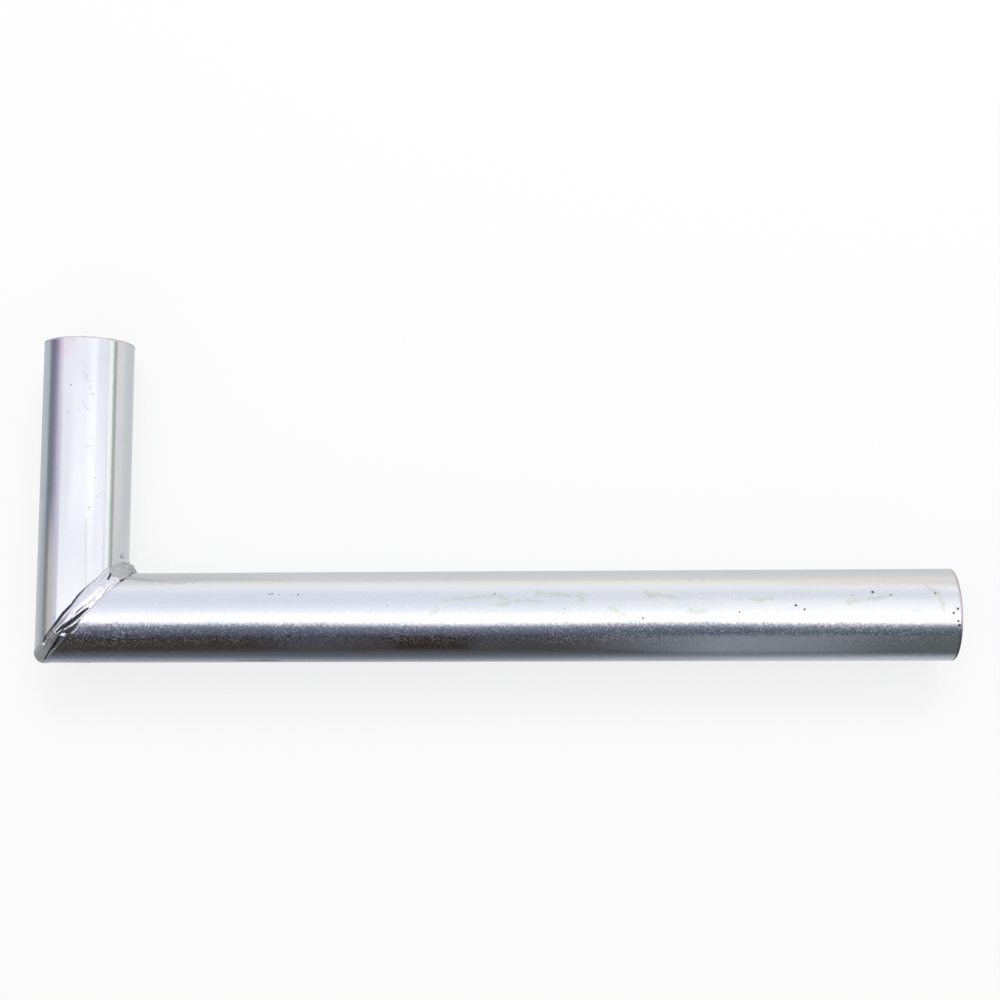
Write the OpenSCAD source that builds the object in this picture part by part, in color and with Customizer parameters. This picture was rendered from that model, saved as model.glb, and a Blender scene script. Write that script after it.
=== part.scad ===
// L-shaped scaffold wall anchor: two mitred legs of round scaffold tube, joined by one weld bead.
// The L lies flat. The axes of the legs cross at the origin: the long leg runs along +X and the
// short leg along +Y. All lengths are in millimetres and all angles in degrees.

/* [Tube] */
// Outside diameter of both legs
tube_d = 48.3; // [42.4:0.1:60.3]
// Wall thickness of both legs
wall = 3.2; // [2.6:0.1:4.5]
// Bevel that deburring leaves on the inner and outer edge of the cut ends
rim_bevel = 0.5; // [0.2:0.1:1]
// Height of the tube's own lengthwise seam inside the bore
seam_h = 0.6; // [0.3:0.1:0.9]
// Radius of the rounded back of that seam
seam_r = 1.5; // [1.2:0.1:1.7]

/* [Legs] */
// Outside length of the long leg, from the heel to its cut end
long_leg = 490; // [250:5:1500]
// Outside length of the short leg, from the heel to its cut end
short_leg = 175; // [110:5:400]
// Place of the seam round the long leg, from the inner side over the top
long_seam_at = 205; // [195:5:345]
// Place of the seam round the short leg, from the inner side over the top
short_seam_at = 70; // [15:5:165]

/* [Weld] */
// Reach of the bead along the long leg in the inner corner
throat_reach_long = 4.6; // [3.5:0.1:7]
// Reach of the bead along the short leg in the inner corner
throat_reach_short = 5.8; // [3.5:0.1:7]
// Reach of the bead along each leg on the flanks
flank_reach = 7.5; // [6.5:0.1:9]
// Reach of the bead along each leg at the heel
heel_reach = 7.2; // [6.5:0.1:8.5]
// Height of the crown over the joint on the flanks
crown = 2.2; // [1.4:0.1:3]
// Height of the crown over the straight line between the edges of the bead in the inner corner
throat_crown = 0.4; // [0.2:0.1:2]
// Radius to which the melted heel is rounded
heel_r = 6.3; // [4:0.1:7]
// How far the bead stands out of the rounded heel
heel_proud = 0.3; // [0.2:0.1:0.8]
// Thickness of the bead over the melted heel
heel_cover = 1.5; // [1:0.1:2]
// Least wall left standing under the melted heel
root_face = 0.4; // [0.2:0.1:0.8]
// How far the bead strays onto the long leg on the upper flank
stray = 3.5; // [0:0.1:4]
// Where round the joint it strays most, from the inner corner over the top
stray_at = 110; // [80:5:125]
// Height of the lumps along the crown
lump_h = 0.3; // [0:0.05:0.5]
// Waviness of the bead's two edges
edge_wave = 0.7; // [0:0.05:0.8]

/* [Hidden] */
$fn = 180;

tube_r = tube_d / 2;
bore_r = tube_r - wall;
// Lengths of the legs from the crossing of their axes
long_reach = long_leg - tube_r;
short_reach = short_leg - tube_r;
// Half-space blocks are this large, more than either leg
span = 3 * (long_leg + short_leg);
// Lengths that stock and bores run on behind the crossing, before the mitre is cut
stock_tail = 2 * tube_r;
bore_tail = 3 * tube_r;

// Stations round the joint, and steps across the bead at each
stations = 132;
across = 12;
// Depth of the blank bead below the surface of the tube, at its edges and at its root
sink = 0.5;
root_depth = 2 * wall;
// Power of the crown's curve across the bead: 2 is a parabola, more is flatter with steeper sides
crown_power = 2.6;
// Share by which the crest lies off the middle, towards the long leg
crest_lean = 0.18;
// How closely a change of shape keeps to its place round the joint: more is closer
throat_reach_focus = 8;
throat_crown_focus = 2;
heel_focus = 4.5;
stray_focus = 4;
// Strengths of the waves that make the bead uneven, the slowest first
wave_mix = [1, 0.8, 0.6];
// Turns of the slowest wave round the joint and its start, for the two edges and the crown
long_edge_wave = [4, 295];
short_edge_wave = [6, 130];
crown_wave = [7, 110];
// Angles round the joint at which the heel is melted flat
melt_angles = [155, 180, 205];

zinc = [0.74, 0.75, 0.78];
weld_zinc = [0.62, 0.62, 0.66];

function unit(v) = v / norm(v);

// The joint is the curve where the outsides of the legs meet. Angle 0 is the inner corner, 90 the
// top, 180 the heel and 270 the underside.
function joint(a) = tube_r * [cos(a), cos(a), sin(a)];
function outward(a) = unit([cos(a), cos(a), 2 * sin(a)]);

// How much an angle belongs to a place round the joint, from 0 to 1
function share(a, place, focus) = pow(max(0, cos(a - place)), focus);

// Unevenness from -1 to 1, of waves with whole numbers of turns, so that the ring closes
function wave(a, turns_start) =
    let (turns = turns_start[0], start = turns_start[1])
    wave_mix * [for (k = [0 : 2]) sin(((k + 1) * turns + k) * a + (k * k + 1) * start)]
        / (wave_mix * [1, 1, 1]);

// Reach along either leg, before the bead strays and waves
function reach(a, throat_reach) =
    flank_reach + (throat_reach - flank_reach) * share(a, 0, throat_reach_focus)
        + (heel_reach - flank_reach) * share(a, 180, heel_focus);
function reach_long(a) =
    reach(a, throat_reach_long) + stray * share(a, stray_at, stray_focus)
        + edge_wave * wave(a, long_edge_wave);
function reach_short(a) =
    reach(a, throat_reach_short) - stray * share(a, stray_at, stray_focus)
        + edge_wave * wave(a, short_edge_wave);

// Edges of the blank bead, a little below the surface of each leg
function edge_long(a) = joint(a) + [reach_long(a), 0, 0] - sink * [0, cos(a), sin(a)];
function edge_short(a) = joint(a) + [0, reach_short(a), 0] - sink * [cos(a), 0, sin(a)];

// Height of the joint over the straight line between the two edges, none where it lies below
function joint_rise(a) =
    let (x = reach_long(a), y = reach_short(a))
    max(0, -x * y * (x + y) / (x * x + y * y) * outward(a).x);
// How far the crown stands over the joint: less towards the melted heel, where it lies below
heel_drop = crown + (sqrt(2) - 1) * heel_r - heel_proud;
function proud(a) = crown - heel_drop * share(a, 180, heel_focus);
// Height of the crown over the straight line between the two edges
function crest(a) =
    proud(a) + joint_rise(a) + (throat_crown - crown) * share(a, 0, throat_crown_focus)
        + lump_h * wave(a, crown_wave);

// Height across the bead at a share u from -1, the edge on the long leg, to 1
function crown_curve(u) =
    let (u0 = -crest_lean, t = u < u0 ? (u0 - u) / (1 + u0) : (u - u0) / (1 - u0))
    1 - pow(t, crown_power);
function bead_point(a, u) =
    (edge_long(a) * (1 - u) + edge_short(a) * (1 + u)) / 2
        + outward(a) * (sink + crest(a)) * crown_curve(u);

// One closed section of the blank bead: across its crown, then back through its root in the joint
function section(a) = concat(
    [for (k = [0 : across]) bead_point(a, 2 * k / across - 1)],
    [joint(a) - root_depth * outward(a)]);

// A ring lofted through sections that are lists of as many points each
module closed_loft(sections) {
    rows = len(sections);
    cols = len(sections[0]);
    points = [for (s = sections) for (p = s) p];
    function at(i, k) = (i % rows) * cols + k % cols;
    faces = [for (i = [0 : rows - 1]) for (k = [0 : cols - 1]) for (half = [0, 1])
        half == 0 ? [at(i, k), at(i + 1, k + 1), at(i, k + 1)]
                  : [at(i, k), at(i + 1, k), at(i + 1, k + 1)]];
    polyhedron(points, faces);
}

// What is melted off the heel at an angle round the joint, as a flat below the crown that leaves
// the root face standing over the bore
module melted_flat(a) {
    level = max(joint(a) * outward(a) + proud(a) - heel_cover,
                joint(a) * outward(a) * bore_r / tube_r + root_face);
    rotate(45) rotate([0, -atan2(sqrt(2) * sin(a), cos(a)), 0])
        translate([level, -span / 2, -span / 2]) cube(span);
}

module heel_melt() {
    for (a = melt_angles) melted_flat(a);
}

// The long leg's side of the mitre
module mitre_side() {
    rotate(45) translate([-span / 2, -span, -span / 2]) cube(span);
}

// Round stock along +X, from well behind the heel to the cut end with its rim beveled
module stock(length) {
    rotate([90, 0, 90]) rotate_extrude() polygon([
        [0, -stock_tail], [tube_r, -stock_tail],
        [tube_r, length - rim_bevel], [tube_r - rim_bevel, length], [0, length]]);
}

// The bore of that stock, with its rim beveled and the seam of the rolled tube left in it
module bore(length, seam_at) {
    difference() {
        rotate([90, 0, 90]) rotate_extrude() polygon([
            [0, -bore_tail], [bore_r, -bore_tail], [bore_r, length - rim_bevel],
            [bore_r + 2 * rim_bevel, length + rim_bevel], [0, length + rim_bevel]]);
        rotate([seam_at, 0, 0]) translate([-bore_tail, bore_r - seam_h + seam_r, 0])
            rotate([0, 90, 0]) cylinder(r = seam_r, h = length + bore_tail);
    }
}

module to_short_leg() {
    mirror([1, -1, 0]) children();
}

// A leg along +X with its mitre cut, before it is bored
module mitred_stock(length) {
    intersection() {
        stock(length);
        mitre_side();
    }
}

module long_tube() {
    color(zinc) difference() {
        mitred_stock(long_reach);
        bore(long_reach, long_seam_at);
        heel_melt();
    }
}

module short_tube() {
    color(zinc) difference() {
        to_short_leg() mitred_stock(short_reach);
        to_short_leg() bore(short_reach, short_seam_at);
        heel_melt();
    }
}

// The stock of both legs with the core that they share, so that nothing is left between them
module seat() {
    difference() {
        union() {
            mitred_stock(long_reach);
            to_short_leg() mitred_stock(short_reach);
            intersection() {
                stock(long_reach);
                to_short_leg() stock(short_reach);
            }
        }
        heel_melt();
    }
}

module weld_bead() {
    color(weld_zinc) difference() {
        closed_loft([for (i = [0 : stations - 1]) section(360 * i / stations)]);
        seat();
    }
}

long_tube();
short_tube();
weld_bead();
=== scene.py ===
import math

import bmesh
import bpy
from mathutils import Euler, Matrix, Vector, noise

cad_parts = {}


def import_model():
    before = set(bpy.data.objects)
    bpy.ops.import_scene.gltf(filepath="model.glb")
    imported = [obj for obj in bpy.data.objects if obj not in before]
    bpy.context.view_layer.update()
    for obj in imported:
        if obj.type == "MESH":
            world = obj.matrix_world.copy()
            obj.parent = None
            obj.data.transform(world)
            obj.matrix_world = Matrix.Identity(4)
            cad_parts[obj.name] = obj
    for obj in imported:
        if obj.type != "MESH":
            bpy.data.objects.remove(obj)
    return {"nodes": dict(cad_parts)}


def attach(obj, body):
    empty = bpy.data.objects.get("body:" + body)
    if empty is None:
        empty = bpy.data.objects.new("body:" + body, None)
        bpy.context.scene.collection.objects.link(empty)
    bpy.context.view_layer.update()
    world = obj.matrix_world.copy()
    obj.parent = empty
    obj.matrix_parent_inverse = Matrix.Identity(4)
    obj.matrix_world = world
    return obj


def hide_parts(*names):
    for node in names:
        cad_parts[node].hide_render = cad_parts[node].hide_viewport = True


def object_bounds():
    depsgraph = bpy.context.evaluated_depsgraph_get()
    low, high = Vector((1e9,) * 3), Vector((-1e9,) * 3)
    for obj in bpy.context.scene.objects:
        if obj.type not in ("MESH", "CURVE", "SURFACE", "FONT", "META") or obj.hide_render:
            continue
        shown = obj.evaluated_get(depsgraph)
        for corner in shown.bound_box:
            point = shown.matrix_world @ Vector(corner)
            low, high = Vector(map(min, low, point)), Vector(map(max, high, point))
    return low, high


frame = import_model()
cad_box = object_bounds()

MM = 0.001
ROOT_HALF = math.sqrt(0.5)
# The tube's two radii, and how far each leg reaches from the crossing of the axes, in mm
TUBE_R = 24.15
BORE_R = 20.95
LONG_END = 465.85
SHORT_END = 150.85
FLOOR_Z = cad_box[0].z

# The camera at the photograph's viewing angle: its place in metres, its turn in degrees, and its
# lens and sensor in mm
CAMERA_PLACE = (0.2713, -0.0294, 0.8038)
CAMERA_TURN = (6.52, 3.12, -0.11)
CAMERA_LENS = 54
CAMERA_SENSOR = 36
# Its height over the top of the long leg, in metres
VIEW_HEIGHT = 0.78


# ---- marks on the plating

# Specks, each as (mm from the crossing of the axes, degrees round the tube, width in mm). Degrees
# count from the inner side of the L over the top.
LONG_SPECKS = [
    (107.2, 62, 0.8), (108.6, 61.5, 0.9), (112.5, 62.4, 0.5), (119.5, 62, 0.5), (122.4, 63, 0.9),
    (226.1, 63, 0.8), (262.4, 83, 0.5), (302.8, 95, 0.9), (352.4, 88, 0.8), (381.3, 80, 1.3),
    (385.6, 85, 1.1), (420.9, 63, 1.5), (430.0, 67, 0.9), (410.5, 67, 0.6), (452.7, 65, 1.0),
    (463.3, 85, 1.3), (461.1, 90, 1.2), (463.4, 100, 1.1), (464.1, 106, 1.7), (170.0, 78, 0.5),
    (341.0, 108, 0.5)]
SHORT_SPECKS = [
    (124.1, 94, 0.7), (109.5, 98, 0.6), (148.6, 93, 0.5), (57.9, 67, 0.5), (-0.6, 107, 0.6),
    (74.0, 60, 0.4), (40.5, 118, 0.4)]
# Thin stains that the passivating bath left where it drained, as lines through such places
LONG_STAINS = [
    [(198.3, 71, 0.7), (211.4, 69, 0.9), (227.0, 65, 0.8)],
    [(195.4, 82, 1.2), (193.7, 91, 1.6)],
    [(228.8, 67, 0.8), (234.0, 70, 0.6)],
    [(228.0, 78, 0.9), (240.0, 71, 0.8), (251.0, 74, 0.5)],
    [(248.0, 63, 1.3), (262.0, 65, 1.2), (273.0, 67, 0.8)],
    [(270.4, 64, 1.5), (270.9, 70, 1.7)],
    [(305.7, 65, 1.9), (311.0, 66, 1.2), (321.1, 70, 0.6)],
    [(287.0, 84, 1.2), (293.0, 92, 1.4)],
    [(327.0, 86, 1.6), (334.0, 88, 1.9)],
    [(358.0, 71, 0.7), (363.1, 74, 1.1), (369.1, 71, 0.7)],
    [(408.1, 76, 1.0), (417.5, 73, 0.9), (425.2, 71, 0.8), (430.4, 67, 0.6)],
    [(448.2, 53, 0.7), (452.7, 62, 0.85), (455.5, 74, 0.9), (456.3, 87, 0.8), (455.8, 99, 0.6)],
    [(439.0, 90, 0.65), (441.2, 87, 0.6), (445.0, 86, 0.5)]]
# Scratches where other pieces rubbed the short leg, as lines through such places
SHORT_SCRATCHES = [
    [(136.0, 77.0, 0.32), (134.4, 76.9, 0.28)],
    [(131.1, 78.4, 0.3), (129.5, 74.1, 0.4), (128.1, 76.5, 0.3), (127.3, 72.7, 0.4),
     (125.2, 72.1, 0.3)],
    [(127.6, 70.3, 0.3), (125.8, 67.2, 0.3), (123.0, 70.5, 0.4), (120.9, 69.3, 0.3),
     (119.2, 69.7, 0.4), (119.3, 65.3, 0.35)],
    [(115.8, 78.8, 0.25), (113.7, 75.5, 0.35), (109.9, 71.1, 0.25)],
    [(112.0, 81.6, 0.2), (109.8, 82.7, 0.2)],
    [(97.5, 69.5, 0.25), (95.9, 65.7, 0.3), (94.4, 61.9, 0.2)],
    [(91.5, 72.8, 0.2), (90.5, 67.8, 0.25), (91.7, 61.7, 0.2)],
    [(87.2, 67.6, 0.25), (88.4, 62.7, 0.2)],
    [(68.3, 48.5, 0.25), (63.7, 57.3, 0.3), (63.3, 53.4, 0.3), (66.2, 47.0, 0.2)]]
# Streaks of coloured film, each as (line, colour). The first on the short leg is the faint line
# that the tube's seam shows through the plating.
LONG_FILMS = [
    ([(86.0, 164, 0.5), (94.0, 165, 0.9), (104.0, 165, 1.5), (111.0, 166, 0.7)],
     (0.40, 0.28, 0.34)),
    ([(306.0, 163, 0.6), (330.0, 163, 0.9), (345.0, 163, 0.6)], (0.70, 0.60, 0.66))]
SHORT_FILMS = [
    ([(17.0, 68.2, 0.5), (38.0, 69.6, 0.45), (52.0, 70.4, 0.3)], (0.6, 0.6, 0.63)),
    ([(150.0, 118, 5), (147.0, 106, 6), (149.0, 96, 3)], (0.80, 0.69, 0.76))]
# Share of grainy plating along the long leg, by mm from the crossing of the axes, and on the
# short leg
LONG_GRAIN = [
    (10, 1.4), (42, 1.3), (66, 0.8), (76, 1.0), (122, 0.95), (134, 0.75), (168, 0.75), (175, 1.0),
    (210, 1.0), (218, 0.8), (246, 0.85), (256, 1.1), (298, 1.1), (315, 0.95), (462, 1.1)]
SHORT_GRAIN = 0.12


# ---- node building

class Finish:
    """Short ways to build the nodes of one material or of the world."""

    def __init__(self, owner):
        owner.use_nodes = True
        self.tree = owner.node_tree
        self.tree.nodes.clear()

    def node(self, kind, inputs=None, **settings):
        made = self.tree.nodes.new(kind)
        for name, value in settings.items():
            setattr(made, name, value)
        for name, value in (inputs or {}).items():
            self.put(made.inputs[name], value)
        return made

    def put(self, socket, value):
        """Join a socket to another one, or set the value on the socket itself."""
        if isinstance(value, bpy.types.NodeSocket):
            self.tree.links.new(value, socket)
        elif isinstance(value, tuple) and len(value) == 3 and socket.type == "RGBA":
            socket.default_value = (*value, 1)
        else:
            socket.default_value = value

    def calc(self, operation, *values, clamp=False):
        made = self.node("ShaderNodeMath", dict(enumerate(values)), operation=operation,
                         use_clamp=clamp)
        return made.outputs[0]

    def chain(self, operation, values):
        """One operation over all the values, from the first to the last."""
        found = values[0]
        for value in values[1:]:
            found = self.calc(operation, found, value)
        return found

    def product(self, *values):
        return self.chain("MULTIPLY", values)

    def most(self, *values):
        return self.chain("MAXIMUM", values)

    def vector(self, operation, *values):
        made = self.node("ShaderNodeVectorMath", operation=operation)
        for number, value in enumerate(values):
            by_factor = operation == "SCALE" and number == 1
            self.put(made.inputs["Scale" if by_factor else number], value)
        gives_number = operation in ("DOT_PRODUCT", "LENGTH", "DISTANCE")
        return made.outputs["Value" if gives_number else "Vector"]

    def place(self):
        """The place on the object, in metres."""
        return self.node("ShaderNodeTexCoord").outputs["Object"]

    def place_mm(self):
        return self.vector("SCALE", self.place(), 1 / MM)

    def axes(self, place):
        return self.node("ShaderNodeSeparateXYZ", {"Vector": place}).outputs

    def from_axis(self, a, b):
        """Distance from an axis, by the two places across it."""
        squares = self.calc("ADD", self.calc("POWER", a, 2.0), self.calc("POWER", b, 2.0))
        return self.calc("SQRT", squares)

    def remap(self, value, low, high, to_low=0.0, to_high=1.0):
        """A soft step from one value to another."""
        return self.node("ShaderNodeMapRange", {
            "Value": value, "From Min": low, "From Max": high, "To Min": to_low,
            "To Max": to_high}, interpolation_type="SMOOTHSTEP").outputs["Result"]

    def band(self, value, start, full, full_end, end):
        """A soft band, 1 in its middle and 0 outside."""
        return self.product(self.remap(value, start, full), self.remap(value, end, full_end))

    def noise(self, place, scale, detail=2.0, roughness=0.5):
        return self.node("ShaderNodeTexNoise", {
            "Vector": place, "Scale": scale, "Detail": detail, "Roughness": roughness,
        }).outputs["Fac"]

    def jitter(self, place, scale, detail, reach):
        """Random offsets in all directions, round nought."""
        made = self.node("ShaderNodeTexNoise", {"Vector": place, "Scale": scale, "Detail": detail})
        centred = self.vector("SUBTRACT", made.outputs["Color"], (0.5, 0.5, 0.5))
        return self.vector("SCALE", centred, reach)

    def mix(self, share, a, b):
        made = self.node("ShaderNodeMix", data_type="RGBA")
        for number, value in ((0, share), (6, a), (7, b)):
            self.put(made.inputs[number], value)
        return made.outputs[2]

    def spread(self, value, stops):
        """Colours by a value, as (value, colour) in rising order. A ramp holds 32 at most."""
        low, high = stops[0][0], stops[-1][0]
        share = self.calc("DIVIDE", self.calc("SUBTRACT", value, low), high - low)
        made = self.node("ShaderNodeValToRGB", {"Fac": share})
        elements = made.color_ramp.elements
        while len(elements) < len(stops):
            elements.new(1.0)
        for element, (at, _) in zip(elements, stops):
            element.position = (at - low) / (high - low)
        for element, (_, colour) in zip(elements, stops):
            element.color = (*colour, 1)
        return made.outputs["Color"]

    def level(self, value, stops):
        """Plain numbers by a value, as (value, number) in rising order."""
        return self.spread(value, [(at, (number, number, number)) for at, number in stops])

    def seen(self):
        """1 for what the camera, polished metal and glass see, 0 for what only lights the scene."""
        rays = self.node("ShaderNodeLightPath").outputs
        return self.most(rays["Is Camera Ray"], rays["Is Glossy Ray"], rays["Is Transmission Ray"])

    def bump(self, height):
        """The direction of a surface with a relief in mm."""
        return self.node("ShaderNodeBump", {
            "Strength": 1.0, "Distance": MM, "Height": height}).outputs["Normal"]

    def glow(self, colour):
        return self.node("ShaderNodeEmission", {"Color": colour, "Strength": 1.0}).outputs[0]

    def surface(self, shader):
        self.node("ShaderNodeOutputMaterial", {"Surface": shader})

    def metal(self, colour, metallic, rough, normal):
        self.surface(self.node("ShaderNodeBsdfPrincipled", {
            "Base Color": colour, "Metallic": metallic, "Roughness": rough, "Normal": normal,
        }).outputs[0])


def material(name):
    made = bpy.data.materials.new(name)
    return made, Finish(made)


# ---- mesh building

def piece_of(bm, name, finish=None):
    mesh = bpy.data.meshes.new(name)
    bm.to_mesh(mesh)
    bm.free()
    made = bpy.data.objects.new(name, mesh)
    bpy.context.scene.collection.objects.link(made)
    if finish:
        mesh.materials.append(finish)
    return made


def smooth_faces(bm):
    for face in bm.faces:
        face.smooth = True


def inside_box(co):
    """The nearest place inside the box of the solids."""
    return [min(high, max(low, at)) for low, at, high in zip(cad_box[0], co, cad_box[1])]


def on_leg(leg, along, degrees, radius=TUBE_R):
    """Point on a leg, in mm."""
    turn = math.radians(degrees)
    side, up = radius * math.cos(turn), radius * math.sin(turn)
    return (along, side, up) if leg == "long" else (side, along, up)


# ---- the plating

# Its film, bluer or thinner, and the clouds in it
BLUE_FILM = (0.735, 0.748, 0.80)
THIN_FILM = (0.755, 0.768, 0.785)
SHORT_FILM = (0.79, 0.80, 0.832)
YELLOW_CLOUD = (0.79, 0.785, 0.77)
BLUE_CLOUD = (0.71, 0.735, 0.80)
DULL_FILM = (0.66, 0.675, 0.71)
# Its marks
STAIN = (0.60, 0.66, 0.52)
PIT = (0.05, 0.045, 0.06)
# The sawn rims on top, below and in front, and the bore
LONG_RIM = (0.62, 0.5, 0.58)
SHORT_RIM = (0.78, 0.77, 0.79)
LOW_RIM = (0.66, 0.65, 0.66)
FRONT_RIM = (0.07, 0.13, 0.12)
BORE = (0.42, 0.41, 0.40)
# The marks of drawing are this share of their length wide
DRAWN_OUT = 0.12
# How far the crystals push the surface's direction aside, as a share of its length
CRYSTAL_TILT = 0.115


def film_colour(f, leg, place, drawn, along, side):
    """The passivated film, with blue and yellow clouds in it."""
    # On the long leg the blue thins out towards the far end
    colour = SHORT_FILM if leg == "short" else f.mix(f.remap(along, 110, 330), BLUE_FILM, THIN_FILM)
    colour = f.mix(f.remap(f.noise(drawn, 0.055, 3), 0.5, 0.7, 0, 0.7), colour, YELLOW_CLOUD)
    colour = f.mix(f.remap(f.noise(place, 0.035, 2), 0.48, 0.7, 0, 0.5), colour, BLUE_CLOUD)
    if leg == "short":
        # It is duller in a band along the top, which widens towards the weld
        narrow = f.product(f.remap(along, 155, 70, 0, 0.8), f.remap(side, 3, -3))
        wide = f.product(f.remap(along, 80, 26, 0, 0.8), f.remap(side, 18, 11))
        dull = f.product(f.most(narrow, wide), f.remap(side, -11, -7.5))
        colour = f.mix(dull, colour, DULL_FILM)
    return colour


def speck_mask(f, leg, place, speck):
    along, degrees, width = speck
    gap = f.vector("DISTANCE", place, on_leg(leg, along, degrees))
    return f.remap(gap, width * 0.35, width * 0.7, 1, 0)


def line_mask(f, leg, place, points):
    """Mask of a line through places on the leg, 1 in its middle and 0 at twice its width."""
    masks = []
    for (a, a_degrees, a_width), (b, b_degrees, b_width) in zip(points, points[1:]):
        start, stop = Vector(on_leg(leg, a, a_degrees)), Vector(on_leg(leg, b, b_degrees))
        way = stop - start
        off = f.vector("SUBTRACT", place, tuple(start))
        share = f.calc("MULTIPLY", f.vector("DOT_PRODUCT", off, tuple(way)),
                       1 / way.length_squared, clamp=True)
        gap = f.vector("LENGTH", f.vector("SUBTRACT", off, f.vector("SCALE", tuple(way), share)))
        width = f.calc("MULTIPLY_ADD", share, 2 * (b_width - a_width), 2 * a_width)
        masks.append(f.calc("SUBTRACT", 1.0, f.calc("DIVIDE", gap, width), clamp=True))
    return f.most(*masks)


def zinc_plating(leg, end, specks, films, rim_tint, stains=(), scratches=()):
    """Bright zinc plating on rolled steel: grain, cloudy film, drain marks and specks."""
    made, f = material("zinc_on_" + leg + "_leg")
    place = f.place_mm()
    x, y, z = f.axes(place)
    along, side = (x, y) if leg == "long" else (y, x)
    drawn = f.vector("MULTIPLY", place, (DRAWN_OUT, 1, 1) if leg == "long" else (1, DRAWN_OUT, 1))
    shaken = f.vector("ADD", place, f.jitter(place, 0.35, 1.5, 2.5))

    colour = film_colour(f, leg, place, drawn, along, side)
    for points, tint in films:
        streak = f.remap(line_mask(f, leg, place, points), 0.0, 0.7, 0, 0.8)
        colour = f.mix(streak, colour, tint)
    dark = f.most(*[speck_mask(f, leg, place, speck) for speck in specks])
    if stains:
        ragged = f.remap(f.noise(place, 0.45, 3, 0.65), 0.36, 0.56, 0.3, 1)
        stain = f.product(f.most(*[line_mask(f, leg, shaken, line) for line in stains]), ragged)
        colour = f.mix(f.remap(stain, 0.0, 0.9, 0, 0.75), colour, STAIN)
    if scratches:
        broken = f.remap(f.noise(place, 1.3, 2, 0.6), 0.46, 0.6, 0, 0.42)
        scratch = f.most(*[line_mask(f, leg, shaken, line) for line in scratches])
        dark = f.most(dark, f.product(f.remap(scratch, 0.0, 0.55), broken))
    colour = f.mix(f.product(dark, 0.88), colour, PIT)

    # The sawn rim takes a film of its own, darker in front, and the bore stays dull
    rim = f.remap(along, end - 1.7, end - 0.8)
    rim_film = f.mix(f.remap(z, 2, 12), LOW_RIM, rim_tint)
    rim_film = f.mix(f.remap(y, -5, -11), rim_film, FRONT_RIM)
    colour = f.mix(f.product(rim, 0.8), colour, rim_film)
    inside = f.remap(f.from_axis(side, z), BORE_R + 0.9, BORE_R + 0.3)
    colour = f.mix(f.product(inside, 0.7), colour, BORE)

    # Small crystals, each tilted a little, with matt ones between them, in patches
    patchy = SHORT_GRAIN
    if leg == "long":
        patchy = f.product(f.level(along, LONG_GRAIN),
                           f.remap(f.noise(place, 0.07, 2), 0.35, 0.55, 0.65, 1.1))
    tilt = f.vector("SCALE", f.jitter(place, 0.8, 1.0, CRYSTAL_TILT), patchy)
    matt = f.product(f.remap(f.noise(place, 0.95, 2, 0.65), 0.475, 0.63), patchy)
    rough = f.calc("MULTIPLY_ADD", f.remap(f.noise(drawn, 0.11, 3), 0.4, 0.7), 0.03, 0.08)
    rough = f.calc("MULTIPLY_ADD", matt, 0.1, rough)
    rough = f.most(rough, f.product(f.most(inside, dark, rim), 0.45))
    matt_on_top = f.product(matt, f.remap(z, 15.5, 24.5))
    metallic = f.calc("MULTIPLY_ADD", matt_on_top, -0.175, 1.0)

    # Fine relief: lumps, marks of drawing, and pits where it is dark
    height = f.product(f.noise(place, 0.35, 2), 0.02)
    height = f.calc("MULTIPLY_ADD", f.noise(drawn, 0.09, 2), 0.06, height)
    height = f.calc("MULTIPLY_ADD", dark, -0.04, height)
    normal = f.vector("NORMALIZE", f.vector("ADD", f.bump(height), tilt))
    f.metal(colour, metallic, rough, normal)
    return made


# ---- the weld's finish

# Two shades each for the crest, the inner corner and the heel, and one for the heel's outer edge
CREST_SHADES = ((0.72, 0.72, 0.77), (0.78, 0.78, 0.80))
CORNER_SHADES = ((0.42, 0.42, 0.425), (0.535, 0.54, 0.55))
HEEL_SHADES = ((0.14, 0.135, 0.13), (0.38, 0.395, 0.415))
HEEL_EDGE = (0.56, 0.58, 0.585)
# Painted shade for the creases of the bead
CREASE_SHADE = (0.03, 0.042, 0.053)
# A drop at the heel with a painted highlight, white and not metallic, and its place in mm
PAINTED_GLINT = (0.97, 0.97, 0.98)
GLINT_DROP = (-13.1, -14.6, 21.9)


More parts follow.
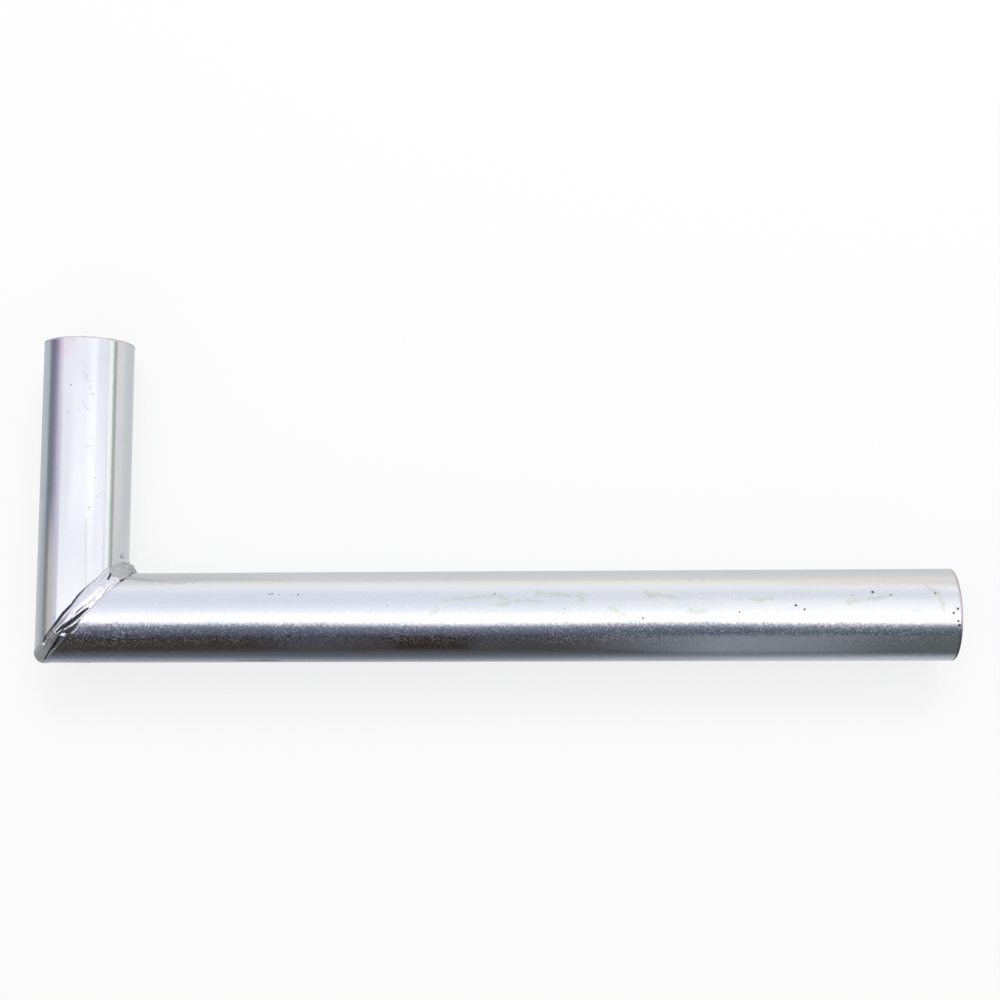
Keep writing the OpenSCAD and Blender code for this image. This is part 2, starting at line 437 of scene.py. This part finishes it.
def weld_finish():
    """Zinc over weld metal: bright on top, dull at the heel and in the corner, painted shade in
    creases.
    """
    made, f = material("zinc_on_weld")
    place = f.place_mm()
    x, y, _ = f.axes(place)
    outwards = f.product(f.calc("ADD", x, y), ROOT_HALF)
    across = f.product(f.calc("SUBTRACT", y, x), ROOT_HALF)
    heel = f.product(f.remap(outwards, -8.5, -11.5), f.remap(across, -5.2, -4.4))
    corner = f.product(f.remap(f.calc("MULTIPLY_ADD", y, 0.2, x), 24.1, 25.0),
                       f.remap(f.calc("MULTIPLY_ADD", x, 0.2, y), 25.0, 26.1))
    dull = f.most(heel, corner)
    crease = f.node("ShaderNodeAttribute", attribute_name="crease").outputs["Fac"]
    # Where the drop at the heel takes its painted highlight
    white = f.remap(f.vector("DISTANCE", place, GLINT_DROP), 0.7, 1.1, 1, 0)

    colour = f.mix(f.remap(f.noise(place, 0.3, 3), 0.35, 0.65), *CREST_SHADES)
    spots = f.remap(f.noise(place, 0.8, 3, 0.65), 0.38, 0.62)
    colour = f.mix(corner, colour, f.mix(spots, *CORNER_SHADES))
    patina = f.mix(spots, *HEEL_SHADES)
    patina = f.mix(f.remap(outwards, -14, -24, 0, 0.75), patina, HEEL_EDGE)
    colour = f.mix(heel, colour, patina)
    # Painted shade in the creases
    colour = f.mix(f.remap(crease, 0.1, 0.6, 0, 0.95), colour, CREASE_SHADE)
    # The painted highlight on the drop at the heel
    colour = f.mix(white, colour, PAINTED_GLINT)

    grain = f.noise(place, 1.6, 3, 0.6)
    rough = f.calc("ADD", f.remap(grain, 0.3, 0.7, 0.16, 0.26), f.product(dull, 0.22))
    rough = f.most(rough, f.product(crease, 0.55))
    # Less metallic where dull, and not metallic under the painted highlight
    metallic = f.calc("SUBTRACT", f.calc("MULTIPLY_ADD", dull, -0.55, 1.0), white, clamp=True)
    height = f.product(f.noise(place, 0.9, 2), f.calc("MULTIPLY_ADD", heel, 0.12, 0.03))
    height = f.calc("MULTIPLY_ADD", f.noise(place, 0.5, 1), f.product(corner, 0.22), height)
    height = f.calc("MULTIPLY_ADD", grain, f.calc("MULTIPLY_ADD", heel, 0.05, 0.02), height)
    f.metal(colour, metallic, rough, f.bump(height))
    return made


# ---- the weld's shape

# Length on the joint of one degree round it, in mm
ROUND_MM = 0.55
# Edge of the bead's even mesh, and how far its hidden seat goes into the legs, in mm
BEAD_STEP = 0.27
SEAT_DEPTH = 0.7
# The crown of the last pass on the upper flank, as (mm across, mm up) over the plain bead
LAST_PASS = [
    (-6.5, 0), (-4.8, -0.2), (-3.6, 0.2), (-2.4, 0.32), (-1.2, 0.12), (0.4, -0.18), (2.4, -0.1),
    (4.0, 0)]
# Creases, as lines through (degrees round the joint, mm across, half width in mm)
UPPER_TOE = [
    (112, 1.0, 0.4), (106.6, 1.4, 0.9), (99.6, 2.2, 1.3), (93.4, 2.65, 1.5), (86.5, 3.1, 1.6),
    (79.7, 3.4, 1.4), (73.2, 3.8, 1.2), (67.1, 4.25, 1.1), (61, 4.6, 1.0), (54, 4.8, 0.7),
    (47, 4.8, 0.4)]
FLANK_GROOVE = [
    (105, -2.3, 0.6), (99.9, -2.8, 1.3), (96.3, -3.5, 2.0), (91.4, -4.1, 2.4), (86.6, -4.75, 2.0),
    (82.7, -5.1, 1.6), (77.3, -5.35, 0.9), (72.5, -5.6, 0.4)]
# The same in the inner corner and at the heel, each with how strong its painted shade is
SMALL_CREASES = [
    (0.9, [(44.5, -0.1, 0.9), (42, 0.6, 1.1), (39.5, 1.4, 0.8)]),
    (0.58, [(35.5, -4.2, 0.5), (33.1, -4.7, 0.95), (30.0, -5.0, 0.8)]),
    (0.34, [(53, 1.5, 0.3), (50.3, 1.95, 0.5), (44.6, 2.66, 0.45), (40.5, 3.6, 0.5)]),
    (0.42, [(18, -3.6, 0.3), (12, -3.1, 0.45), (4, -2.6, 0.3)]),
    (0.42, [(14, -1.6, 0.3), (6, -1.2, 0.45), (-4, -0.6, 0.3)]),
    (1.0, [(114.5, 0.9, 0.7), (118, 0.45, 1.5), (122, 0.1, 0.8)]),
    (0.8, [(104, -4.6, 0.4), (110, -4.9, 0.9), (118, -5.2, 0.8), (131, -5.0, 0.6),
           (147, -4.6, 0.6), (158, -4.2, 0.2)])]
# Depths of the three kinds, in mm
UPPER_TOE_DEPTH = 0.15
FLANK_GROOVE_DEPTH = 0.45
SMALL_CREASE_DEPTH = 0.32
# Drops that stand up on the bead, as (degrees round the joint, mm across, radius, height)
DROPS = [
    (105.3, -5.8, 1.5, 0.75), (103.2, -6.3, 1.1, 0.6), (122.3, -1.0, 0.9, 0.5),
    (1.5, 2.7, 1.0, 0.5), (-6.9, 1.6, 1.1, 0.5), (5, 3.9, 1.2, 0.45), (16, -3.0, 1.0, 0.4),
    (-5.4, -1.2, 1.2, 0.45), (20, -0.5, 1.6, 0.3), (28, 2.6, 1.5, 0.3), (15, 4.4, 1.0, 0.4),
    (250, 1.0, 1.3, 0.5), (292, -3.0, 1.2, 0.5), (205, -2.0, 1.4, 0.2)]


def round_joint(p):
    """Degrees round the joint, from the inner corner over the top, and mm across it.

    Across counts towards the short leg. Degrees run from -60 to 300, so that no crease crosses
    their end.
    """
    degrees = math.degrees(math.atan2(p.z, (p.x + p.y) / 2))
    return (degrees + 60) % 360 - 60, (p.y - p.x) * ROOT_HALF


def outward(p):
    """The direction out of the joint at a place near it."""
    flat = (p.x + p.y) / 2
    return Vector((flat, flat, 2 * p.z)).normalized()


def ease(value, low, high):
    share = min(1.0, max(0.0, (value - low) / (high - low)))
    return share * share * (3 - 2 * share)


def within(value, start, full, full_end, end):
    return ease(value, start, full) * (1 - ease(value, full_end, end))


def dome(share):
    """Height of a round dome at a share of its radius."""
    return math.sqrt(max(0.0, 1 - share * share))


def ripple(along, across, length, width, layer):
    """Smooth noise on the bead, from about -1 to 1, of this length and width in mm."""
    return noise.noise(Vector((along / length, across / width, layer)))


def near_line(line, angle, across):
    """How near a place on the bead is to a crease, from 0 outside it to 1 in its middle."""
    best = 0.0
    for (a, d, width), (a2, d2, width2) in zip(line, line[1:]):
        start, way = Vector((a * ROUND_MM, d)), Vector(((a2 - a) * ROUND_MM, d2 - d))
        off = Vector((angle * ROUND_MM, across)) - start
        share = min(1, max(0, off.dot(way) / way.length_squared))
        gap = (off - share * way).length / (width + (width2 - width) * share)
        best = max(best, 1 - gap)
    return best * best * (3 - 2 * best)


def last_pass(across):
    for (d, up), (d2, up2) in zip(LAST_PASS, LAST_PASS[1:]):
        if d <= across < d2:
            return up + (up2 - up) * ease(across, d, d2)
    return 0.0


def bead_height(angle, across):
    """How far the bead's skin stands off its plain crown, in mm."""
    along = angle * ROUND_MM
    flow = ripple(along, across, 7.5, 0.9, 3.1)
    fine = ripple(along, across, 3.2, 0.55, 8.4)
    lump = ripple(along, across, 2.2, 2.2, 5.7)
    small = ripple(along, across, 1.1, 1.1, 2.9)
    corner = max(0.0, math.cos(math.radians(angle))) ** 2
    heel = within(angle, 108, 120, 240, 252)
    flank = (1 - 0.8 * corner) * (1 - heel)
    crest = math.exp(-((across + 3.0) / 1.3) ** 2)
    height = flank * (0.09 * flow + 0.04 * fine + crest * (0.22 * flow + 0.16 * fine))
    height += (0.3 * lump + 0.16 * small) * corner + (0.14 * lump + 0.1 * small) * heel
    height += within(angle, 82, 92, 102, 112) * last_pass(across)
    # Before the top the last pass ran out flat over the long leg
    if -7.0 < across < -1.0:
        hollow = math.sin(math.pi * (across + 7.0) / 6.0)
        height -= 0.75 * within(angle, 40, 52, 84, 93) * hollow
    height -= 0.3 * within(angle, 72, 84, 98, 108)
    # A cap of metal over the heel
    height += 0.35 * heel * dome((across + 1.3) / 4.0)
    for _, line in SMALL_CREASES:
        height -= SMALL_CREASE_DEPTH * near_line(line, angle, across)
    height -= (FLANK_GROOVE_DEPTH * near_line(FLANK_GROOVE, angle, across)
               + UPPER_TOE_DEPTH * near_line(UPPER_TOE, angle, across))
    for drop_angle, drop_across, radius, rise in DROPS:
        gap = math.hypot((angle - drop_angle) * ROUND_MM, across - drop_across)
        height += rise * dome(gap / radius)
    return height


def crease_shade(angle, across):
    """Painted shade in the crevices of the bead, from 0 to 1. The upper toe fades to the corner."""
    depth = near_line(UPPER_TOE, angle, across) * (0.45 + 0.55 * ease(angle, 66, 92))
    for dark, line in [(1.0, FLANK_GROOVE)] + SMALL_CREASES:
        depth = max(depth, dark * near_line(line, angle, across))
    return depth


def overlap(angle, across):
    """How far the bead's edge laps further over the short leg, in mm."""
    more = 1.7 * within(angle, 50, 72, 98, 114) + 0.5 * within(angle, 12, 26, 36, 48)
    return more * ease(across, -1.5, 3.0)


def detailed_bead(finish):
    """The weld bead with the skin that it froze with, in place of its plain solid."""
    bm = bmesh.new()
    bm.from_mesh(frame["nodes"]["weld_bead"].data)
    bmesh.ops.remove_doubles(bm, verts=bm.verts, dist=0.002 * MM)
    bmesh.ops.recalc_face_normals(bm, faces=bm.faces)
    # The hidden seat goes a little into the legs, so that the thin edges keep their line
    for v in bm.verts:
        if all(face.normal.dot(outward(v.co)) < 0 for face in v.link_faces):
            v.co -= SEAT_DEPTH * MM * outward(v.co)
    made = piece_of(bm, "weld_bead_detail")
    remesh = made.modifiers.new("even", "REMESH")
    remesh.mode = "VOXEL"
    remesh.voxel_size = BEAD_STEP * MM
    evaluated = made.evaluated_get(bpy.context.evaluated_depsgraph_get())
    even = bpy.data.meshes.new_from_object(evaluated)
    made.modifiers.clear()

    bm = bmesh.new()
    bm.from_mesh(even)
    bmesh.ops.smooth_vert(bm, verts=bm.verts, factor=0.5, use_axis_x=True, use_axis_y=True,
                          use_axis_z=True)
    bm.normal_update()
    # The painted shade of the creases, kept for each place of the bead
    crease = bm.verts.layers.float.new("crease")
    for v in bm.verts:
        angle, across = round_joint(v.co / MM)
        # The relief is full where the surface looks well outwards, and fades out to the seat
        skin = min(1.0, max(0.0, 2 * v.normal.dot(outward(v.co))))
        lap = overlap(angle, across) * min(1.0, 2 * skin)
        across += lap * ROOT_HALF
        v[crease] = crease_shade(angle, across)
        v.co += v.normal * (bead_height(angle, across) * skin * MM) + Vector((0, lap * MM, 0))
        v.co = inside_box(v.co)
    smooth_faces(bm)
    bm.to_mesh(made.data)
    bm.free()
    made.data.materials.append(finish)
    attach(made, "root")
    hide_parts("weld_bead")
    return made


# ---- spatter and burr

# Spatter that stuck beside the bead, as (leg, mm along, degrees round, radius, height)
SPATTER = [
    ("long", 2.6, 112, 0.8, 0.5), ("long", 3.1, 111, 0.75, 0.5), ("long", 3.6, 110, 0.75, 0.55),
    ("long", 4.15, 108.8, 0.7, 0.5), ("long", 4.7, 107.6, 0.7, 0.5),
    ("long", 5.2, 106.4, 0.6, 0.45), ("long", 5.8, 105, 0.5, 0.35),
    ("short", 33.1, 16, 1.3, 1.0), ("short", 29.6, 15, 0.5, 0.3), ("short", 27.9, 38, 0.45, 0.3),
    ("long", 33.5, 40, 0.4, 0.25), ("short", 36.5, 27, 0.3, 0.2), ("long", 30.0, 112, 0.4, 0.25),
    ("long", 36.0, 250, 0.5, 0.3), ("short", 34.0, 285, 0.6, 0.4), ("short", 31.0, 340, 0.5, 0.35)]
# How far the middle of each drop lies below the surface, in mm
SPATTER_SUNK = 0.15
# The burr's radius, and how far its middle lies inside the outer edge of the short leg's end
BURR_R = 0.34
BURR_IN = 0.1
BURR_BACK = 0.35
# Sides of the burr's section, and steps round the rim
BURR_SIDES = 8
BURR_STEPS = 480


def spatter(finish):
    """Drops of weld metal that stuck to both legs."""
    bm = bmesh.new()
    for leg, along, degrees, radius, rise in SPATTER:
        drop = bmesh.ops.create_icosphere(bm, subdivisions=3, radius=radius * MM)["verts"]
        bmesh.ops.scale(bm, verts=drop, vec=(1, 1, (rise + SPATTER_SUNK) / radius))
        for v in drop:
            v.co *= 1 + 0.12 * noise.noise(v.co / MM * 1.7 + Vector((along, degrees, 0)))
        away = Vector(on_leg(leg, 0, degrees, 1)).normalized()
        turn = away.to_track_quat("Z", "Y").to_matrix().to_4x4()
        place = Vector(on_leg(leg, along, degrees, TUBE_R - SPATTER_SUNK)) * MM
        bmesh.ops.transform(bm, matrix=Matrix.Translation(place) @ turn, verts=drop)
    smooth_faces(bm)
    made = piece_of(bm, "weld_spatter", finish)
    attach(made, "root")
    return made


def rim_burr(finish):
    """The thin ragged burr that the saw left on the outer edge of the short leg's end."""
    bm = bmesh.new()
    # A sheet bent to a ring: x turns round the rim, and y round the burr's own section
    bmesh.ops.create_grid(bm, x_segments=BURR_STEPS, y_segments=BURR_SIDES, size=math.pi)
    for v in bm.verts:
        rim = Vector((math.cos(v.co.x), 0, math.sin(v.co.x)))
        middle = (TUBE_R - BURR_IN) * rim + Vector((0, SHORT_END - BURR_BACK, 0))
        off = math.cos(v.co.y) * rim + Vector((0, math.sin(v.co.y), 0))
        ragged = noise.noise(rim * 9) + 0.8 * noise.noise(rim * 34) + 0.5 * noise.noise(rim * 90)
        radius = BURR_R * min(1.0, max(0.1, 0.5 + 1.2 * ragged))
        v.co = inside_box((middle + radius * off) * MM)
    bmesh.ops.remove_doubles(bm, verts=bm.verts, dist=0.001 * MM)
    bmesh.ops.recalc_face_normals(bm, faces=bm.faces)
    smooth_faces(bm)
    made = piece_of(bm, "short_rim_burr", finish)
    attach(made, "root")
    return made


# ---- the studio

# The floor's own colour, the share of plain white in it where it is seen, and how far it reaches
# to each side in metres
FLOOR_COLOUR = (0.93, 0.93, 0.93)
FLOOR_GLOW = 0.74
FLOOR_REACH = 15
# Strength of the world as a light
WORLD_LIGHT = 0.74
WHITE = (1.0, 1.0, 1.0)


def camera():
    """From above, a little to the left of the middle."""
    data = bpy.data.cameras.new("camera")
    data.lens = CAMERA_LENS
    data.sensor_width = CAMERA_SENSOR
    made = bpy.data.objects.new("camera", data)
    made.location = CAMERA_PLACE
    made.rotation_euler = Euler([math.radians(turn) for turn in CAMERA_TURN])
    bpy.context.scene.collection.objects.link(made)
    bpy.context.scene.camera = made


def floor():
    finish, f = material("pale_floor")
    matt = f.node("ShaderNodeBsdfDiffuse", {"Color": FLOOR_COLOUR}).outputs[0]
    white = f.glow(WHITE)
    share = f.product(f.seen(), FLOOR_GLOW)
    f.surface(f.node("ShaderNodeMixShader", {0: share, 1: matt, 2: white}).outputs[0])
    bm = bmesh.new()
    bmesh.ops.create_grid(bm, x_segments=1, y_segments=1, size=FLOOR_REACH)
    bmesh.ops.translate(bm, vec=(0, 0, FLOOR_Z), verts=bm.verts)
    piece_of(bm, "floor", finish)


def world():
    """White where it is seen, and a little weaker as a light."""
    made = bpy.data.worlds.new("studio")
    bpy.context.scene.world = made
    f = Finish(made)
    strength = f.calc("MULTIPLY_ADD", f.seen(), 1 - WORLD_LIGHT, WORLD_LIGHT)
    light = f.node("ShaderNodeBackground", {"Color": WHITE, "Strength": strength})
    f.node("ShaderNodeOutputWorld", {"Surface": light.outputs[0]})


def lamp(name, place, target, width, depth, radiance):
    """A soft rectangular lamp, which the metal doesn't mirror."""
    data = bpy.data.lights.new(name, "AREA")
    data.shape = "RECTANGLE"
    data.size, data.size_y = width, depth
    data.energy = radiance * math.pi * width * depth
    made = bpy.data.objects.new(name, data)
    made.location = place
    made.rotation_euler = (Vector(target) - Vector(place)).to_track_quat("-Z", "Y").to_euler()
    made.visible_camera = made.visible_glossy = False
    bpy.context.scene.collection.objects.link(made)


# ---- the screens that the metal mirrors

# Light from the tent, by degrees from overhead: behind the object below 0, in front of it above
TENT = [
    (-175, (0.2, 0.2, 0.2)), (-155, (0.5, 0.5, 0.51)), (-138, (0.62, 0.625, 0.635)),
    (-118, (0.73, 0.735, 0.745)), (-97, (0.83, 0.83, 0.82)), (-92, (1.04, 0.99, 0.85)),
    (-87, (1.08, 1.03, 0.90)), (-81, (1.06, 1.06, 1.06)), (-72, (1.04, 1.05, 1.08)),
    (-54, (0.91, 0.93, 1.01)), (-38, (0.92, 0.94, 1.02)), (-22, (1.01, 1.03, 1.09)),
    (-7, (1.22, 1.22, 1.26)), (2, (1.45, 1.45, 1.46)), (13, (1.5, 1.5, 1.5)),
    (17, (1.3, 1.3, 1.32)), (21, (0.8, 0.8, 0.84)), (25, (0.4, 0.4, 0.46)),
    (30.5, (0.2, 0.215, 0.28)), (38.5, (0.125, 0.142, 0.2)), (46.5, (0.094, 0.108, 0.15)),
    (54.5, (0.074, 0.077, 0.096)), (64, (0.049, 0.045, 0.043)), (88, (0.075, 0.072, 0.072)),
    (94, (0.09, 0.089, 0.09)), (99, (0.1, 0.103, 0.109)), (104, (0.112, 0.125, 0.144)),
    (112, (0.166, 0.198, 0.233)), (123, (0.38, 0.41, 0.455)), (136, (0.47, 0.5, 0.54)),
    (155, (0.4, 0.41, 0.42)), (175, (0.2, 0.2, 0.2))]
# Light low in front, by metres along the long leg
FRONT = [
    (0.06, (0.052, 0.045, 0.04)), (0.1, (0.05, 0.042, 0.038)), (0.13, (0.077, 0.079, 0.1)),
    (0.15, (0.066, 0.061, 0.063)), (0.171, (0.064, 0.058, 0.061)),
    (0.1735, (0.036, 0.027, 0.021)), (0.211, (0.04, 0.032, 0.028)),
    (0.214, (0.074, 0.077, 0.087)), (0.24, (0.069, 0.064, 0.07)), (0.265, (0.07, 0.067, 0.073)),
    (0.305, (0.15, 0.165, 0.19)), (0.345, (0.27, 0.3, 0.34)), (0.39, (0.235, 0.255, 0.285)),
    (0.43, (0.135, 0.15, 0.17)), (0.45, (0.12, 0.135, 0.14))]
# Degrees by which the dark in front starts lower, by metres along the long leg, and a number
# above them all: the ramp holds them as shares of it
DARK_START = [
    (0.04, 0.0), (0.1, 0.1), (0.15, 1.9), (0.19, 4.8), (0.24, 3.6), (0.285, 2.4), (0.31, 0.2),
    (0.345, 2.6), (0.39, 4.6), (0.45, 4.9)]
DARK_START_FULL = 6.0
# Light from the screen to the left, by degrees from overhead, and the same near the weld
LEFT = [
    (44, (0.99, 0.98, 1.05)), (57, (0.74, 0.71, 0.85)), (66, (0.40, 0.37, 0.47)),
    (76, (0.23, 0.24, 0.31)), (89, (0.2, 0.25, 0.31)), (93, (0.32, 0.38, 0.42)),
    (98, (0.5, 0.57, 0.6)), (110, (0.56, 0.6, 0.63)), (136, (0.52, 0.54, 0.56)),
    (175, (0.2, 0.2, 0.2))]
LEFT_LOW = [
    (44, (0.94, 0.94, 1.0)), (57, (0.8, 0.78, 0.86)), (66, (0.66, 0.61, 0.63)),
    (75, (0.6, 0.55, 0.52)), (82, (0.3, 0.31, 0.33)), (90, (0.24, 0.28, 0.31)),
    (98, (0.44, 0.48, 0.5)), (110, (0.58, 0.62, 0.64)), (136, (0.54, 0.56, 0.57)),
    (175, (0.2, 0.2, 0.2))]
# Light from the screen to the right of the short leg, by its height in metres
RIGHT = [
    (-0.027, (0.57, 0.57, 0.56)), (0.02, (0.47, 0.47, 0.44)), (0.058, (0.5, 0.55, 0.48)),
    (0.085, (0.66, 0.77, 0.65)), (0.108, (1.06, 1.1, 1.04)), (0.2, (1.15, 1.15, 1.15))]
# Tints laid over the tent's light: overhead to the right, the hazy horizon, the floor in front,
# and the floor in the corner between the legs
OVERHEAD = (1.4, 1.4, 1.4)
HAZE = (0.95, 0.89, 0.85)
FLOOR_IN_FRONT = (0.75, 0.77, 0.86)
FLOOR_IN_CORNER = (0.66, 0.68, 0.685)
# Heights of the strips that the screens run in along the floor
GROUND = FLOOR_Z + MM
LEFT_GROUND = GROUND + MM / 2
# Profiles of the sheets, as (metres across, metres up)
TENT_PROFILE = [
    (-0.003, GROUND), (-0.155, GROUND), (-0.16, 0.02), (-0.25, 0.08), (-0.5, 0.28), (-0.62, 0.5),
    (-0.6, 0.8), (-0.4, 1.05), (-0.1, 1.15), (0.3, 1.12), (0.7, 0.95), (1.0, 0.6), (1.15, 0.3),
    (1.2, 0.0), (1.19, GROUND), (0.003, GROUND)]
LEFT_PROFILE = [
    (-0.003, LEFT_GROUND), (-0.26, LEFT_GROUND), (-0.262, 0.05), (-0.27, 0.13), (-0.28, 0.25)]
RIGHT_PROFILE = [(0.55, FLOOR_Z), (0.55, 0.2)]


def degrees_from_overhead(f, across, up):
    return f.product(f.calc("ARCTAN2", f.product(across, -1.0), up), 180 / math.pi)


def along_leg(f, x, y, z):
    """Metres along the long leg of the place that mirrors a point of the tent to the viewer."""
    reach = f.calc("SUBTRACT", f.from_axis(y, z), TUBE_R * MM)
    share = f.calc("DIVIDE", reach, f.calc("ADD", reach, VIEW_HEIGHT))
    return f.calc("SUBTRACT", x, f.product(f.calc("SUBTRACT", x, CAMERA_PLACE[0]), share))


def tent_light(f, x, y, z):
    """White behind and over the object, dark in front of it, and less dark to the right."""
    along = along_leg(f, x, y, z)
    degrees = degrees_from_overhead(f, y, z)
    start = f.level(along, [(at, turn / DARK_START_FULL) for at, turn in DARK_START])
    shift = f.product(start, f.band(degrees, 2, 12, 45, 60), DARK_START_FULL)
    light = f.spread(f.calc("SUBTRACT", degrees, shift), TENT)
    # Low in front it changes along the leg, and further down to the right
    lower = f.calc("SUBTRACT", degrees, f.remap(along, 0.27, 0.33, 0, 14))
    low_front = f.product(f.remap(degrees, 44, 60), f.remap(lower, 100, 78))
    light = f.mix(low_front, light, f.spread(along, FRONT))
    # To the right the tent is brighter overhead and behind, and the horizon is hazy
    overhead = f.product(f.band(degrees, -50, -20, 14, 24), f.remap(x, 1.0, 0.75),
                         f.remap(along, 0.24, 0.4, 0, 0.42))
    light = f.mix(overhead, light, OVERHEAD)
    haze = f.product(f.band(degrees, -103, -95, -84, -72), f.remap(along, 0.34, 0.44))
    light = f.mix(haze, light, HAZE)
    # On the floor in front it grows lighter to the right and a little beside the weld
    lighter = f.calc("ADD", f.remap(along, 0.19, 0.43, 0, 0.53),
                     f.remap(along, 0.15, 0.04, 0, 0.12))
    light = f.mix(f.product(f.band(degrees, 100, 121, 135, 150), lighter), light, FLOOR_IN_FRONT)
    # In the corner between the legs less light reaches the floor
    shade = f.product(f.remap(x, 0.11, 0.035), f.band(y, 0.03, 0.06, 0.15, 0.2),
                      f.remap(z, 0.01, -0.02))
    return f.mix(shade, light, FLOOR_IN_CORNER)


def left_light(f, x, y, z):
    degrees = degrees_from_overhead(f, x, z)
    return f.mix(f.remap(y, 0.105, 0.05), f.spread(degrees, LEFT), f.spread(degrees, LEFT_LOW))


def right_light(f, x, y, z):
    return f.spread(z, RIGHT)


def screen(name, light, profile, start, length):
    """A bent sheet, with its profile swept along one axis, that only the metal sees.

    Start and length are vectors along that axis.
    """
    finish, f = material(light.__name__)
    f.surface(f.glow(light(f, *f.axes(f.place()))))
    finish.cycles.emission_sampling = "NONE"
    bm = bmesh.new()
    verts = [bm.verts.new(start + Vector((0, across, up) if length.x else (across, 0, up)))
             for across, up in profile]
    edges = [bm.edges.new(pair) for pair in zip(verts, verts[1:])]
    swept = bmesh.ops.extrude_edge_only(bm, edges=edges)["geom"]
    far_side = [part for part in swept if isinstance(part, bmesh.types.BMVert)]
    bmesh.ops.translate(bm, vec=length, verts=far_side)
    made = piece_of(bm, name, finish)
    made.visible_camera = made.visible_diffuse = made.visible_shadow = False


def studio():
    camera()
    floor()
    world()
    lamp("key", place=(0.45, 1.0, 1.3), target=(0.23, 0.05, 0), width=1.1, depth=0.8,
         radiance=3.6)
    screen("light_tent", tent_light, TENT_PROFILE, Vector((-1.6, 0, 0)), Vector((3.9, 0, 0)))
    screen("left_screen", left_light, LEFT_PROFILE, Vector((0, -0.035, 0)), Vector((0, 0.355, 0)))
    screen("right_screen", right_light, RIGHT_PROFILE, Vector((0, 0.03, 0)), Vector((0, 0.3, 0)))


def anchor():
    """The finishes on the plain solids, and the pieces that add to them."""
    long_finish = zinc_plating("long", LONG_END, LONG_SPECKS, LONG_FILMS, LONG_RIM,
                               stains=LONG_STAINS)
    short_finish = zinc_plating("short", SHORT_END, SHORT_SPECKS, SHORT_FILMS, SHORT_RIM,
                                scratches=SHORT_SCRATCHES)
    bead_finish = weld_finish()
    for node, finish in (("long_tube", long_finish), ("short_tube", short_finish),
                         ("weld_bead", bead_finish)):
        slots = frame["nodes"][node].data.materials
        slots.clear()
        slots.append(finish)
    detailed_bead(bead_finish)
    spatter(bead_finish)
    rim_burr(short_finish)


bpy.context.scene.view_settings.view_transform = "Standard"
studio()
anchor()
